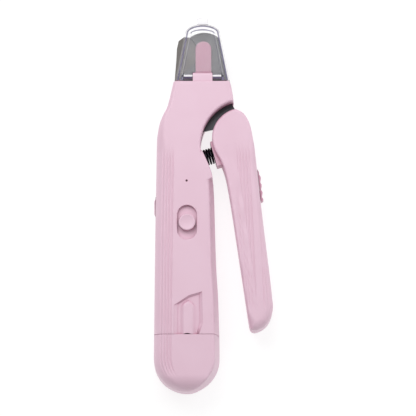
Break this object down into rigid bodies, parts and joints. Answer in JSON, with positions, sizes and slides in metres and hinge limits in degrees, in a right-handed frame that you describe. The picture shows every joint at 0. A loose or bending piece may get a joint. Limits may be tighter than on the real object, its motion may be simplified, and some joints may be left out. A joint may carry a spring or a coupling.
{
  "type": "pet nail clipper and grinder",
  "caption": "Hand-held pet nail trimmer: spring-lever clipper blades under a flip-up clear cover at one end, motor-driven grinding drum under a pull-off cap at the other.",
  "frame": {"origin": "point on the flat back, on the body's centre line, between the speed switch and the lever's pivot", "axes": "+Y from the grinder's cap to the clipper head along the body, +Z out of the flat back to the front face, +X towards the squeeze lever"},
  "size_m": [0.0617, 0.1951, 0.0282],
  "materials": {
    "pink_abs": "satin",
    "deep_pink_abs": "satin",
    "bright_steel": "ground and polished stainless steel",
    "dark_steel": "blackened spring steel",
    "black_parts": "moulded black nylon",
    "dark_rubber": "soft moulded grey",
    "clear_plastic": "clear polycarbonate",
    "green_board": "glass-fibre circuit board",
    "cell_sleeve": "shrink sleeve over a lithium cell",
    "grit": "abrasive grit band",
    "lamp_epoxy": "clear lamp lens"
  },
  "bodies": {
    "housing": {"front_shell": "pink_abs", "rear_shell": "pink_abs", "housing_screw_1": "bright_steel", "housing_screw_2": "bright_steel", "housing_screw_3": "bright_steel", "housing_screw_4": "bright_steel", "fixed_blade": "bright_steel", "blade_screw_1": "bright_steel", "blade_screw_2": "bright_steel", "pivot_bolt": "bright_steel", "pivot_washer": "bright_steel", "pivot_nut": "bright_steel", "cover_hinge_pin": "bright_steel", "nail_stop": "pink_abs", "switch_body": "black_parts", "indicator_lens": "lamp_epoxy", "light_button_seal": "dark_rubber", "light_switch": "black_parts", "charge_socket": "bright_steel", "battery_cell": "cell_sleeve", "circuit_board": "green_board", "motor_can": "bright_steel", "motor_end_bell": "black_parts", "grinder_collar": "dark_rubber", "grinder_lamp": "lamp_epoxy", "head_lamp": "lamp_epoxy", "lever_spring": "dark_steel"},
    "lever": {"lever_front_shell": "pink_abs", "lever_rear_shell": "pink_abs", "lever_screw_1": "bright_steel", "lever_screw_2": "bright_steel", "lever_screw_3": "bright_steel", "moving_blade": "bright_steel", "tang_screw_1": "bright_steel", "tang_screw_2": "bright_steel"},
    "cover": {"clear_cover": "clear_plastic"},
    "speed_switch": {"switch_knob": "pink_abs", "switch_shutter": "pink_abs"},
    "light_key": {"light_button": "deep_pink_abs"},
    "lock": {"lock_button": "pink_abs", "lock_bar": "dark_steel"},
    "cap": {"end_cap": "pink_abs"},
    "spindle": {"motor_shaft": "bright_steel", "drum_arbor": "bright_steel", "grinding_drum": "grit"}
  },
  "joints": [
    {"name": "lever_squeeze", "type": "hinge", "parent": "housing", "child": "lever", "pos_m": [0.0239, 0.0392, 0.0135], "axis": [0, 0, 1], "range_deg": [-8, 0], "stiffness_Nm_per_rad": 0.8, "springref_deg": 8.59, "deforming": ["lever_spring"]},
    {"name": "cover_flip", "type": "hinge", "parent": "housing", "child": "cover", "pos_m": [0.0083, 0.0666, 0.0249], "axis": [1, 0, 0], "range_deg": [0, 100]},
    {"name": "speed_slide", "type": "slide", "parent": "housing", "child": "speed_switch", "axis": [0, 1, 0], "range_m": [-0.004, 0.004]},
    {"name": "light_press", "type": "slide", "parent": "housing", "child": "light_key", "axis": [1, 0, 0], "range_m": [0, 0.0006], "stiffness_N_per_m": 600, "springref_m": -0.0005},
    {"name": "lock_slide", "type": "slide", "parent": "lever", "child": "lock", "axis": [-0.1392, 0.9903, 0], "range_m": [0, 0.003]},
    {"name": "cap_pull", "type": "slide", "parent": "housing", "child": "cap", "axis": [0, -1, 0], "range_m": [0, 0.03]},
    {"name": "spindle_spin", "type": "hinge", "parent": "housing", "child": "spindle", "pos_m": [0.0002, -0.0688, 0.0135], "axis": [0, 1, 0], "continuous": true}
  ]
}
